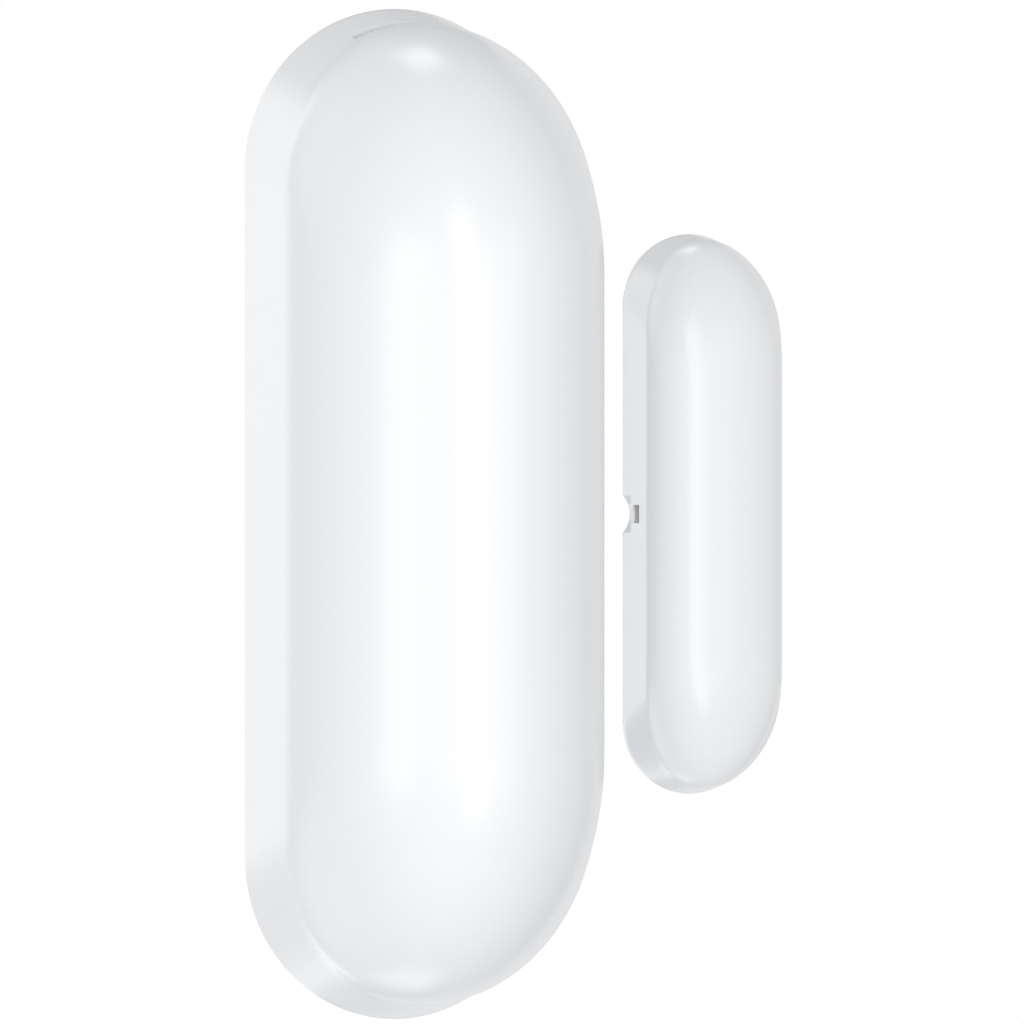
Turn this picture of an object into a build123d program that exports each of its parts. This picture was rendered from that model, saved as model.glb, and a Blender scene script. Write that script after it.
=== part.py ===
from build123d import *
import os
from math import cos, pi, radians, sin

# A two-piece door contact sensor: a long domed sensor unit and a smaller domed magnet unit beside it.
# X runs to the right, Y into the wall, Z up. The wall is the plane Y = 0, and the origin is the centre
# of the sensor unit's adhesive pad on it. Each piece is first modelled in its unit's own wall frame,
# (across, up, depth out from the cover's rim), and is set in place when it is written. Millimetres.

# Driving dimensions
pad_thickness = 0.8
unit_spacing = 22.85
clearance = 0.2
cut_overrun = 1.0

# Cover shapes. The rim is a pill outline. The skirt rises from it to a crease, which drops towards the
# ends, and the dome rises from the crease to a straight crest. It is a half ellipse across and a quarter
# ellipse at each end. The fade says how fast each level's straight stretch gives way to the crest's as
# the dome's angle grows.
sensor_shape = {
    "half_width": 11.6,
    "rim_straight": 24.4,
    "rim_length": 36.0,
    "crease_straight": 22.4,
    "crease_length": 34.95,
    "side_height": 7.2,
    "tip_height": 4.4,
    "depth": 21.8,
    "crest_straight": 17.0,
    "straight_fade": 26,
}
magnet_shape = {
    "half_width": 5.2,
    "rim_straight": 14.8,
    "rim_length": 20.0,
    "crease_straight": 12.6,
    "crease_length": 19.65,
    "side_height": 4.2,
    "tip_height": 2.2,
    "depth": 7.6,
    "crest_straight": 10.5,
    "straight_fade": 50,
}
sensor_wall = 1.5
magnet_wall = 1.2
dome_step = 7
dome_last = 84
cap_spans = 8

# Release slot in the sensor cover's top end, and the tongue of the base behind it
slot_width = 10.0
slot_low = 3.7
slot_high = 4.6
tongue_width = 7.6
tongue_z = 31.0
tongue_thickness = 0.8
tongue_top = 5.6

# Pry notch in the magnet cover's side, towards the sensor
scoop_radius = 1.95
scoop_bite = 0.55
scoop_top = 1.4
notch_height = 1.3
notch_low = 1.0
notch_high = 3.0

# Sensor base and the board on it
base_thickness = 1.6
base_half_width = 9.9
base_length = 33.9
board_low = 2.6
board_thickness = 1.0
board_half_width = 9.0
board_straight = 24.4
board_length = 30.0
board_top = board_low + board_thickness
screw_z = 27.2
post_radius = 2.0
pilot_radius = 0.65
pilot_floor = 0.5
screw_radius = 0.8
screw_head_radius = 1.6
screw_head_height = 0.9
screw_end = 0.7
recess_length = 1.8
recess_width = 0.4
recess_depth = 0.5
board_hole_radius = 1.0
clip_z = 19.0
clip_length = 5.0
clip_thickness = 0.6
clip_top = 5.2
ledge_z = 9.0
ledge_length = 3.0
ledge_width = 1.2
stop_z = 11.0
stop_width = 0.8
stop_reach = 0.6
stop_low = 1.9
stop_high = 6.4

# Lithium cell and its cradle
cell_radius = 7.8
cell_length = 27.0
cell_axis = board_top + 0.4 + cell_radius
sleeve_thickness = 0.15
can_thickness = 0.3
lid_thickness = 0.5
nub_radius = 2.9
nub_height = 1.0
cell_back = -13.5
cell_front = cell_back + cell_length - nub_height
cradle_clearance = 0.15
cradle_half_width = 8.6
cradle_top = 9.4
saddle_start = 10.6
end_wall_inner = 15.0
end_wall_thickness = 1.2
end_wall_top = 14.0
end_wall_half_width = 6.0
rail_inner = 4.0
floor_slot_half_width = 3.0
contact_thickness = 0.3
contact_half_width = 3.0
contact_low = 5.0
contact_top = 13.6
foot_half_width = 1.0
foot_length = 2.2
pip_radius = 1.2
leaf_reach = end_wall_inner + cell_back - contact_thickness
leaf_half_width = 1.6
leaf_low = cell_axis - 4.0
leaf_high = cell_axis + 1.6
leaf_tip = 1.2
leaf_root = 1.0

# Reed switch at the board's edge nearest the magnet
reed_x = 7.6
reed_depth = 5.0
glass_radius = 0.9
glass_bore = 0.6
glass_length = 10.0
seal_length = 1.2
blade_lap = 0.3
lead_radius = 0.22
lead_bend = 0.7
lead_reach = 8.5
lead_end = 2.1
lead_hole_radius = 0.4
blade_width = 0.8
blade_thickness = 0.14
blade_gap = 0.06
blade_overlap = 1.4
blade_root_gap = 0.1

# Small parts on the board
switch_at = (-4.6, 21.6)
switch_size = (4.2, 3.4, 1.2)
frame_sheet = 0.2
frame_ear = 1.8
plunger_radius = 0.8
plunger_hole_radius = 1.0
plunger_low = 0.75
plunger_height = 1.35
plunger_well = 0.8
plunger_fillet = 0.15
led_at = (4.8, 22.4)
led_size = (1.6, 0.8, 0.6)
led_lens_share = 0.7
crystal_at = (4.4, 18.9)
crystal_size = (3.2, 1.5, 0.8)
module_at = (0.0, -20.9)
module_size = (11.0, 8.6, 0.8)
shield_size = (8.0, 7.4, 1.6)
shield_offset = (-1.2, 0.4)
shield_sheet = 0.2
antenna_size = (1.8, 5.0, 1.0)
antenna_offset = (4.3, 0.4)
capacitor_size = (1.0, 0.5, 0.5)
capacitor_places = ((0.4, 18.2), (0.4, 19.6), (0.4, 21.0), (6.6, 18.4), (6.6, 20.4), (-7.4, 17.9))

# Magnet unit
magnet_base_thickness = 1.2
magnet_base_half_width = 3.8
magnet_base_straight = 14.4
magnet_base_length = 18.3
bar_size = (5.0, 24.0, 3.0)
bar_lift = 0.1
bar_chamfer = 0.25
cradle_wall = 0.6
cradle_height = 2.2
cradle_gap = 0.1
magnet_stop_z = 14.0
magnet_stop_high = 3.4

# Adhesive pads
sensor_pad_half_width = 8.6
sensor_pad_length = 32.0
magnet_pad_half_width = 3.4
magnet_pad_length = 17.6


def pill_wire(half_width, straight, half_length, side_depth, tip_depth):
    """A closed pill outline whose depth runs from side_depth to tip_depth round each end."""
    edges = []
    for sign in (1, -1):
        points = []
        for step in range(cap_spans + 1):
            angle = pi * step / cap_spans
            x = sign * half_width * cos(angle)
            y = sign * (straight + (half_length - straight) * sin(angle))
            points.append((x, y, side_depth + (tip_depth - side_depth) * sin(angle) ** 2))
        low = (sign * half_width, -sign * straight, side_depth)
        edges.append(Edge.make_line(low, points[0]))
        ends = [(0, sign, 0), (0, -sign, 0)]
        edges.append(Edge.make_spline(points, tangents=ends, scale=False))
    return Wire(edges)


def dome_wire(shape, inset, angle):
    """The cover's level outline at one angle of its dome, from 0 at the crease to 90 at the crest."""
    fall = cos(radians(angle))
    rise = sin(radians(angle))
    crest = shape["crest_straight"]
    straight = crest + (shape["crease_straight"] - crest) * fall ** shape["straight_fade"]
    length = crest + (shape["crease_length"] - inset - crest) * fall
    top = shape["depth"] - inset
    side = shape["side_height"] + (top - shape["side_height"]) * rise
    tip = shape["tip_height"] + (top - shape["tip_height"]) * rise
    if angle == dome_last:
        tip = side
    return pill_wire((shape["half_width"] - inset) * fall, straight, length, side, tip)


def domed_solid(shape, inset, start):
    """The cover's outer form, or with an inset its hollow; start is the depth where it begins."""
    rim = (shape["half_width"] - inset, shape["rim_straight"], shape["rim_length"] - inset)
    wires = [pill_wire(*rim, 0, 0)]
    if start < 0:
        wires.insert(0, pill_wire(*rim, start, start))
    for angle in range(0, dome_last + 1, dome_step):
        wires.append(dome_wire(shape, inset, angle))
    return Solid.make_loft(wires, ruled=True)


def plate(half_width, straight, half_length, low, high):
    """A flat pill-shaped plate between two depths."""
    face = Face(pill_wire(half_width, straight, half_length, low, low))
    return extrude(face, amount=high - low, dir=(0, 0, 1))


def block(x_low, x_high, z_low, z_high, low, high):
    """A box between two limits across, up and out."""
    centre = ((x_low + x_high) / 2, (z_low + z_high) / 2, (low + high) / 2)
    return Pos(*centre) * Box(x_high - x_low, z_high - z_low, high - low)


def peg(x, z, radius, low, high):
    """A round peg standing out from the wall."""
    return Pos(x, z, (low + high) / 2) * Cylinder(radius, high - low)


def rod_up(x, depth, radius, z_low, z_high):
    """A round rod lying along Z."""
    centre = Pos(x, (z_low + z_high) / 2, depth)
    return centre * Rot(90, 0, 0) * Cylinder(radius, z_high - z_low)


def stop_ribs(inner_half_width, rib_z, low, high):
    """Four ribs inside a cover's side walls, which stop the base at its depth."""
    ribs = []
    for side in (-1, 1):
        inner = side * (inner_half_width - stop_reach)
        outer = side * (inner_half_width + stop_reach)
        for z in (-rib_z, rib_z):
            limits = sorted((inner, outer))
            ribs.append(block(*limits, z - stop_width / 2, z + stop_width / 2, low, high))
    return ribs


def sensor_cover():
    cover = domed_solid(sensor_shape, 0, 0) - domed_solid(sensor_shape, sensor_wall, -cut_overrun)
    for rib in stop_ribs(sensor_shape["half_width"] - sensor_wall, stop_z, stop_low, stop_high):
        cover = cover + rib
    reach = sensor_shape["rim_length"] + cut_overrun
    slot = block(-slot_width / 2, slot_width / 2, tongue_z, reach, slot_low, slot_high)
    return cover - slot


def sensor_base():
    straight = sensor_shape["rim_straight"]
    base = plate(base_half_width, straight, base_length, 0, base_thickness)
    for z in (-screw_z, screw_z):
        base = base + peg(0, z, post_radius, base_thickness, board_low)
        base = base - peg(0, z, pilot_radius, pilot_floor, board_low)
    for side in (-1, 1):
        for z in (-clip_z, clip_z):
            across = sorted((side * (base_half_width - clip_thickness), side * base_half_width))
            along = (z - clip_length / 2, z + clip_length / 2)
            base = base + block(*across, *along, base_thickness, clip_top)
        for z in (-ledge_z, ledge_z):
            inner = board_half_width - ledge_width
            across = sorted((side * inner, side * board_half_width))
            along = (z - ledge_length / 2, z + ledge_length / 2)
            base = base + block(*across, *along, base_thickness, board_low)
    tongue = block(
        -tongue_width / 2, tongue_width / 2, tongue_z, tongue_z + tongue_thickness, base_thickness, tongue_top
    )
    return base + tongue


def circuit_board():
    board = plate(board_half_width, board_straight, board_length, board_low, board_top)
    for z in (-screw_z, screw_z):
        board = board - peg(0, z, board_hole_radius, board_low, board_top)
    for z in (-lead_reach, lead_reach):
        board = board - peg(reed_x, z, lead_hole_radius, board_low, board_top)
    return board


def board_screws():
    screws = []
    for z in (-screw_z, screw_z):
        head_top = board_top + screw_head_height
        shank = peg(0, z, pilot_radius, screw_end, board_top)
        head = peg(0, z, screw_head_radius, board_top, head_top)
        middle = Pos(0, z, head_top - recess_depth / 2)
        slot = middle * Box(recess_length, recess_width, recess_depth)
        cross = middle * Box(recess_width, recess_length, recess_depth)
        screws.append(shank + head - slot - cross)
    return screws


def sensor_pad():
    straight = sensor_pad_length - sensor_pad_half_width
    return plate(sensor_pad_half_width, straight, sensor_pad_length, -pad_thickness, 0)


def cell_can():
    """The steel can: closed at its back, open at the front where the lid sits."""
    radius = cell_radius - sleeve_thickness
    can = rod_up(0, cell_axis, radius, cell_back, cell_front)
    return can - rod_up(0, cell_axis, radius - can_thickness, cell_back + can_thickness, cell_front)


def cell_core():
    radius = cell_radius - sleeve_thickness - can_thickness
    return rod_up(0, cell_axis, radius, cell_back + can_thickness, cell_front - lid_thickness)


def cell_sleeve():
    outer = rod_up(0, cell_axis, cell_radius, cell_back + clearance, cell_front - clearance)
    inner = rod_up(0, cell_axis, cell_radius - sleeve_thickness, cell_back, cell_front)
    return outer - inner


def cell_cap():
    """The lid that closes the can, with the raised positive end on it."""
    radius = cell_radius - sleeve_thickness - can_thickness
    lid = rod_up(0, cell_axis, radius, cell_front - lid_thickness, cell_front)
    return lid + rod_up(0, cell_axis, nub_radius, cell_front, cell_front + nub_height)


def battery_cradle():
    outer_end = end_wall_inner + end_wall_thickness
    body = block(-cradle_half_width, cradle_half_width, -outer_end, outer_end, board_top, cradle_top)
    for side in (-1, 1):
        across = (-end_wall_half_width, end_wall_half_width)
        along = sorted((side * end_wall_inner, side * outer_end))
        body = body + block(*across, *along, cradle_top, end_wall_top)
    bed = rod_up(0, cell_axis, cell_radius + cradle_clearance, -end_wall_inner, end_wall_inner)
    window = block(-rail_inner, cradle_half_width, -saddle_start, saddle_start, board_top, cradle_top)
    floor_across = (-floor_slot_half_width, floor_slot_half_width)
    floor_slot = block(*floor_across, -end_wall_inner, end_wall_inner, board_top, cell_axis)
    pocket = block(
        -contact_half_width, contact_half_width, -end_wall_inner, end_wall_inner, contact_low, end_wall_top
    )
    return body - bed - window - floor_slot - pocket


def contact_plate(side):
    """The flat of a cell contact, against the inside of the cradle's end wall, with its solder foot."""
    along = sorted((side * end_wall_inner, side * (end_wall_inner - contact_thickness)))
    face = block(-contact_half_width, contact_half_width, *along, board_top, contact_top)
    foot_along = sorted((side * end_wall_inner, side * (end_wall_inner - foot_length)))
    foot_across = (-foot_half_width, foot_half_width)
    foot = block(*foot_across, *foot_along, board_top, board_top + contact_thickness)
    return face + foot


def positive_contact():
    pip_low = cell_back + cell_length
    pip = rod_up(0, cell_axis, pip_radius, pip_low, end_wall_inner - contact_thickness)
    return contact_plate(1) + pip


def negative_contact():
    """The contact with its leaf, a tongue that leans out to the cell's flat end."""
    wall_face = -(end_wall_inner - contact_thickness)
    tip_z = wall_face + leaf_reach
    with_leaf = contact_plate(-1)
    profile = Polyline(
        (wall_face, leaf_low),
        (tip_z, leaf_high - leaf_tip),
        (tip_z, leaf_high),
        (tip_z - contact_thickness, leaf_high),
        (tip_z - contact_thickness, leaf_high - leaf_tip),
        (wall_face, leaf_low + leaf_root),
        close=True,
    )
    leaf = extrude(Plane.YZ * make_face(profile), amount=leaf_half_width, both=True)
    return with_leaf + leaf


def reed_glass():
    half = glass_length / 2
    tube = rod_up(reed_x, reed_depth, glass_radius, -half, half)
    bore = rod_up(reed_x, reed_depth, glass_bore, seal_length - half, half - seal_length)
    leads = rod_up(reed_x, reed_depth, lead_radius, -half, half)
    return tube - bore - leads


def reed_lead(side, inner_end):
    """One lead: along the switch's axis out of the glass, then bent down through the board."""
    start = (reed_x, side * inner_end, reed_depth)
    corner = (reed_x, side * lead_reach, reed_depth)
    end = (reed_x, side * lead_reach, lead_end)
    path = FilletPolyline(start, corner, end, radius=lead_bend)
    section = Plane(origin=start, z_dir=(0, side, 0)) * Circle(lead_radius)
    return sweep(section, path=path)


def reed_fixed_blade():
    seal_end = glass_length / 2 - seal_length
    across = (reed_x - blade_width / 2, reed_x + blade_width / 2)
    top = reed_depth - blade_gap / 2
    blade = block(*across, -seal_end, blade_overlap / 2, top - blade_thickness, top)
    return reed_lead(-1, seal_end - blade_lap) + blade


def reed_moving_lead():
    return reed_lead(1, glass_length / 2 - seal_length)


def reed_moving_blade():
    root = glass_length / 2 - seal_length - blade_root_gap
    across = (reed_x - blade_width / 2, reed_x + blade_width / 2)
    low = reed_depth + blade_gap / 2
    return block(*across, -blade_overlap / 2, root, low, low + blade_thickness)


def on_board(place, size, lift=0.0):
    """A box of the given size, centred at a place on the board."""
    x, z = place
    width, length, height = size
    return Pos(x, z, board_top + lift + height / 2) * Box(width, length, height)


def switch_body():
    top = board_top + switch_size[2]
    well = peg(*switch_at, plunger_hole_radius, top - plunger_well, top + cut_overrun)
    return on_board(switch_at, switch_size) - well


def switch_frame():
    width, length, height = switch_size
    sheet = on_board(switch_at, (width, length, frame_sheet), height)
    for side in (-1, 1):
        ear_place = (switch_at[0] + side * (width + frame_sheet) / 2, switch_at[1])
        sheet = sheet + on_board(ear_place, (frame_sheet, frame_ear, height + frame_sheet))
    hole = peg(*switch_at, plunger_hole_radius, board_top, board_top + height + cut_overrun)
    return sheet - hole


def pairing_button():
    low = board_top + plunger_low
    plunger = peg(*switch_at, plunger_radius, low, low + plunger_height)
    return fillet(plunger.edges().sort_by(Axis.Z)[-1], plunger_fillet)


def status_led():
    width, length, height = led_size
    base = on_board(led_at, (width, length, height / 2))
    lens = on_board(led_at, (width * led_lens_share, length, height / 2), height / 2)
    return base + lens


def timing_crystal():
    return on_board(crystal_at, crystal_size)


def radio_module():
    return on_board(module_at, module_size)


def offset_place(place, offset):
    return (place[0] + offset[0], place[1] + offset[1])


def radio_shield():
    width, length, height = shield_size
    place = offset_place(module_at, shield_offset)
    lift = module_size[2]
    inside = (width - 2 * shield_sheet, length - 2 * shield_sheet, height - shield_sheet)
    return on_board(place, shield_size, lift) - on_board(place, inside, lift)


def chip_antenna():
    return on_board(offset_place(module_at, antenna_offset), antenna_size, module_size[2])


def capacitors():
    return [on_board(place, capacitor_size) for place in capacitor_places]


def magnet_cover():
    cover = domed_solid(magnet_shape, 0, 0) - domed_solid(magnet_shape, magnet_wall, -cut_overrun)
    inner = magnet_shape["half_width"] - magnet_wall
    low = magnet_base_thickness + clearance
    for rib in stop_ribs(inner, magnet_stop_z, low, magnet_stop_high):
        cover = cover + rib
    face = -magnet_shape["half_width"]
    scoop = peg(face - scoop_radius + scoop_bite, 0, scoop_radius, -cut_overrun, scoop_top)
    slot_across = (face - cut_overrun, -inner + stop_reach)
    slot = block(*slot_across, -notch_height / 2, notch_height / 2, notch_low, notch_high)
    return cover - scoop - slot


def magnet_base():
    base = plate(magnet_base_half_width, magnet_base_straight, magnet_base_length, 0, magnet_base_thickness)
    half_width = bar_size[0] / 2 + cradle_gap
    half_length = bar_size[1] / 2 + cradle_gap
    top = magnet_base_thickness + cradle_height
    outer = block(
        -half_width - cradle_wall,
        half_width + cradle_wall,
        -half_length - cradle_wall,
        half_length + cradle_wall,
        magnet_base_thickness,
        top,
    )
    inner = block(-half_width, half_width, -half_length, half_length, magnet_base_thickness, top)
    return base + (outer - inner)


def bar_magnet():
    width, length, height = bar_size
    low = magnet_base_thickness + bar_lift
    bar = block(-width / 2, width / 2, -length / 2, length / 2, low, low + height)
    return chamfer(bar.edges(), bar_chamfer)


def magnet_pad():
    straight = magnet_pad_length - magnet_pad_half_width
    return plate(magnet_pad_half_width, straight, magnet_pad_length, -pad_thickness, 0)


def write(name, shape, across):
    """Sets a piece in its place on the wall and writes it."""
    front = Plane(origin=(across, -pad_thickness, 0), x_dir=(1, 0, 0), z_dir=(0, -1, 0))
    solids = []
    for piece in shape if isinstance(shape, list) else [shape]:
        solids.extend(piece.moved(front.location).solids())
    whole = solids[0] if len(solids) == 1 else Compound(children=solids)
    whole.label = name
    export_step(whole, f"parts/{name}.step")


sensor_pieces = {
    "sensor_cover": sensor_cover,
    "sensor_base": sensor_base,
    "sensor_pad": sensor_pad,
    "circuit_board": circuit_board,
    "board_screws": board_screws,
    "cell_can": cell_can,
    "cell_core": cell_core,
    "cell_sleeve": cell_sleeve,
    "cell_cap": cell_cap,
    "battery_cradle": battery_cradle,
    "positive_contact": positive_contact,
    "negative_contact": negative_contact,
    "reed_glass": reed_glass,
    "reed_fixed_blade": reed_fixed_blade,
    "reed_moving_lead": reed_moving_lead,
    "reed_moving_blade": reed_moving_blade,
    "switch_body": switch_body,
    "switch_frame": switch_frame,
    "pairing_button": pairing_button,
    "status_led": status_led,
    "timing_crystal": timing_crystal,
    "radio_module": radio_module,
    "radio_shield": radio_shield,
    "chip_antenna": chip_antenna,
    "capacitors": capacitors,
}
magnet_pieces = {
    "magnet_cover": magnet_cover,
    "magnet_base": magnet_base,
    "bar_magnet": bar_magnet,
    "magnet_pad": magnet_pad,
}

os.makedirs("parts", exist_ok=True)
for name, make in sensor_pieces.items():
    write(name, make(), 0)
for name, make in magnet_pieces.items():
    write(name, make(), unit_spacing)
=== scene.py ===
from math import cos, pi, radians, sin

import bmesh
import bpy
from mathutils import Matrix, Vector


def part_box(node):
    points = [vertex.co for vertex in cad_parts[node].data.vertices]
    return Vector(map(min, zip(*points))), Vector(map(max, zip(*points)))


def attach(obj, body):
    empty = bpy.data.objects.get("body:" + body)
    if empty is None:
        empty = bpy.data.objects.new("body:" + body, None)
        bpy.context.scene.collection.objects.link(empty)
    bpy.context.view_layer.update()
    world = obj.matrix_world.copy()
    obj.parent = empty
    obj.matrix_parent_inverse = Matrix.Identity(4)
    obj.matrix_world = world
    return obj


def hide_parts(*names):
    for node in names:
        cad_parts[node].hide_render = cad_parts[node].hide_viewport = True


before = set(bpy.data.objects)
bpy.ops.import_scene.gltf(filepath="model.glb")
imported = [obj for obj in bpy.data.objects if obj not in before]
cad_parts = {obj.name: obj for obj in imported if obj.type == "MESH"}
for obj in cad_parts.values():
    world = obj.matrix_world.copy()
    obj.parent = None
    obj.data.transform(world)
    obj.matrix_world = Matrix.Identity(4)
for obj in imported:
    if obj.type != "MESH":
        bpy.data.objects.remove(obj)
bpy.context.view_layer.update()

# A two-piece door contact sensor in glossy white plastic, with its electronics inside

MM = 0.001

# Camera: long lens, level, turned towards the sensor unit's left side
CAMERA_TURN = -23.0
CAMERA_DISTANCE = 3.0
FRAME_WIDTH = 73.0 * MM
SENSOR_WIDTH = 36.0
AIM = Vector((7.71, -4.0, 0.14)) * MM

# Light, in metres, degrees and watts. Azimuth 0 is straight in front, and positive is to the left.
WORLD_LIGHT = 0.57
LIGHT_TARGET = Vector((7.0, -10.0, 0.0)) * MM
FAR = 0.6
NEAR = 0.2
SOFTBOXES = (
    # name, azimuth, elevation, width, height, power, distance
    ("left_side", 68, 0, 0.34, 0.24, 0.52, FAR),
    ("left_front", 44, 0, 0.16, 0.47, 0.18, FAR),
    ("front_left", 17, 0, 0.17, 0.72, 1.25, FAR),
    ("front", 1, 0, 0.14, 0.42, 0.22, FAR),
    ("right_front", -17, 0, 0.20, 0.47, 0.24, FAR),
    ("back_left", 160, 0, 0.17, 1.10, 0.95, FAR),
    ("back_right", -140, 0, 0.47, 0.90, 0.5, FAR),
    ("above", 180, 66, 0.16, 0.16, 0.24, FAR),
    ("below", 180, -62, 0.06, 0.06, 0.015, NEAR),
)
FLOOR_RADIUS = 0.25
FLOOR_Z = -0.24

# Cover shapes, as in the CAD source, in millimetres
SENSOR_SHAPE = {
    "half_width": 11.6,
    "rim_straight": 24.4,
    "rim_length": 36.0,
    "crease_straight": 22.4,
    "crease_length": 34.95,
    "side_height": 7.2,
    "tip_height": 4.4,
    "depth": 21.8,
    "crest_straight": 17.0,
    "straight_fade": 26,
    "wall": 1.5,
}
MAGNET_SHAPE = {
    "half_width": 5.2,
    "rim_straight": 14.8,
    "rim_length": 20.0,
    "crease_straight": 12.6,
    "crease_length": 19.65,
    "side_height": 4.2,
    "tip_height": 2.2,
    "depth": 7.6,
    "crest_straight": 10.5,
    "straight_fade": 50,
    "wall": 1.2,
}

# Cuts and ribs of the covers, as in the CAD source, in millimetres
SLOT_HALF_WIDTH = 5.0
SLOT_DEPTHS = (3.7, 4.6)
SLOT_INNER_Z = 31.0
SCOOP_RADIUS = 1.95
SCOOP_BITE = 0.55
NOTCH_HALF_HEIGHT = 0.65
NOTCH_DEPTHS = (1.0, 3.0)
SCOOP_TOP = 1.4
SENSOR_RIBS = {"z": 11.0, "depths": (1.9, 6.4)}
MAGNET_RIBS = {"z": 14.0, "depths": (1.4, 3.4)}
RIB_HALF_WIDTH = 0.4
RIB_REACH = 0.6
CUT_OVERRUN = 1.0
CUT_OVERLAP = 0.1

# Rounding of edges, in millimetres and degrees
SHELL_EDGE = 0.09
SHARP_ANGLE = 40
WELD_GAP = 0.001
CREST_ANGLE = 89.6

PAD = -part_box("sensor_cover")[1].y / MM
MAGNET_X = (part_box("magnet_cover")[0].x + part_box("magnet_cover")[1].x) / 2 / MM


# ---------------------------------------------------------------- stage


def make_camera():
    turn = radians(CAMERA_TURN)
    data = bpy.data.cameras.new("camera")
    data.sensor_width = SENSOR_WIDTH
    data.lens = SENSOR_WIDTH * CAMERA_DISTANCE / FRAME_WIDTH
    data.clip_start = 0.1
    data.clip_end = 20.0
    camera = bpy.data.objects.new("camera", data)
    bpy.context.scene.collection.objects.link(camera)
    back = Vector((sin(turn), -cos(turn), 0.0))
    camera.location = AIM + back * CAMERA_DISTANCE
    camera.rotation_euler = (-back).to_track_quat("-Z", "Y").to_euler()
    bpy.context.scene.camera = camera


def make_world():
    """White as seen by the camera, and a softer pale grey as light."""
    world = bpy.data.worlds.new("studio")
    bpy.context.scene.world = world
    world.use_nodes = True
    tree = world.node_tree
    tree.nodes.clear()
    seen = tree.nodes.new("ShaderNodeBackground")
    seen.inputs["Color"].default_value = (1, 1, 1, 1)
    seen.inputs["Strength"].default_value = 1.0
    light = tree.nodes.new("ShaderNodeBackground")
    light.inputs["Color"].default_value = (0.985, 0.99, 1.0, 1)
    light.inputs["Strength"].default_value = WORLD_LIGHT
    path = tree.nodes.new("ShaderNodeLightPath")
    mix = tree.nodes.new("ShaderNodeMixShader")
    out = tree.nodes.new("ShaderNodeOutputWorld")
    tree.links.new(path.outputs["Is Camera Ray"], mix.inputs["Fac"])
    tree.links.new(light.outputs[0], mix.inputs[1])
    tree.links.new(seen.outputs[0], mix.inputs[2])
    tree.links.new(mix.outputs[0], out.inputs["Surface"])


def add_softbox(name, azimuth, elevation, width, height, power, distance):
    """A soft rectangular light that faces the object."""
    data = bpy.data.lights.new(name, "AREA")
    data.shape = "RECTANGLE"
    data.size = width
    data.size_y = height
    data.energy = power
    light = bpy.data.objects.new(name, data)
    bpy.context.scene.collection.objects.link(light)
    a, e = radians(azimuth), radians(elevation)
    away = Vector((-sin(a) * cos(e), -cos(a) * cos(e), sin(e)))
    light.location = LIGHT_TARGET + away * distance
    light.rotation_euler = (-away).to_track_quat("-Z", "Z").to_euler()
    light.visible_camera = False


def make_lights():
    for values in SOFTBOXES:
        add_softbox(*values)


def make_floor():
    mesh = bpy.data.meshes.new("floor")
    shape = bmesh.new()
    bmesh.ops.create_circle(shape, cap_ends=True, radius=FLOOR_RADIUS, segments=96)
    shape.to_mesh(mesh)
    shape.free()
    floor = bpy.data.objects.new("floor", mesh)
    floor.location = (0.0, 0.0, FLOOR_Z)
    bpy.context.scene.collection.objects.link(floor)
    mesh.materials.append(pale_floor())


# ---------------------------------------------------------------- material tools


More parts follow.
